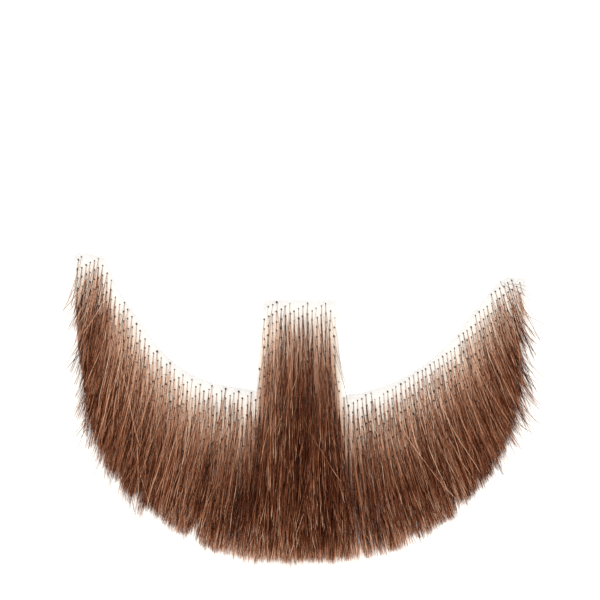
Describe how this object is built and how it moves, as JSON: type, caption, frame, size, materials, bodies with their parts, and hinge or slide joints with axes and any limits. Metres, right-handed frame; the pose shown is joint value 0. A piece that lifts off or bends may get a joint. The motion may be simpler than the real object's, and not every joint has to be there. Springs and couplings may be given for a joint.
{
  "type": "fake beard",
  "caption": "False beard of combed hair knotted into a jaw-shaped net lace with a tab under the lip, worn glued to the chin and cheeks.",
  "frame": {"origin": "on the back of the lace, in the middle of the chin, 14.8 mm below the lace's upper edge and 21.6 mm above its lower edge", "axes": "+X along the jaw, to the right as seen from the hair side; +Y from the chin up to the lip; +Z from the wearer's skin outwards through the hair. The beard lies flat on its lace, wearer's side down"},
  "size_m": [0.1498, 0.0985, 0.0092],
  "materials": {
    "lace_net": "fine pale net, nearly clear on skin",
    "chestnut_hair": "combed chestnut brown hair with a soft gloss"
  },
  "bodies": {
    "root": {"lace_base": "lace_net", "goatee_hair": "chestnut_hair", "left_cheek_hair": "chestnut_hair", "right_cheek_hair": "chestnut_hair"}
  },
  "joints": []
}
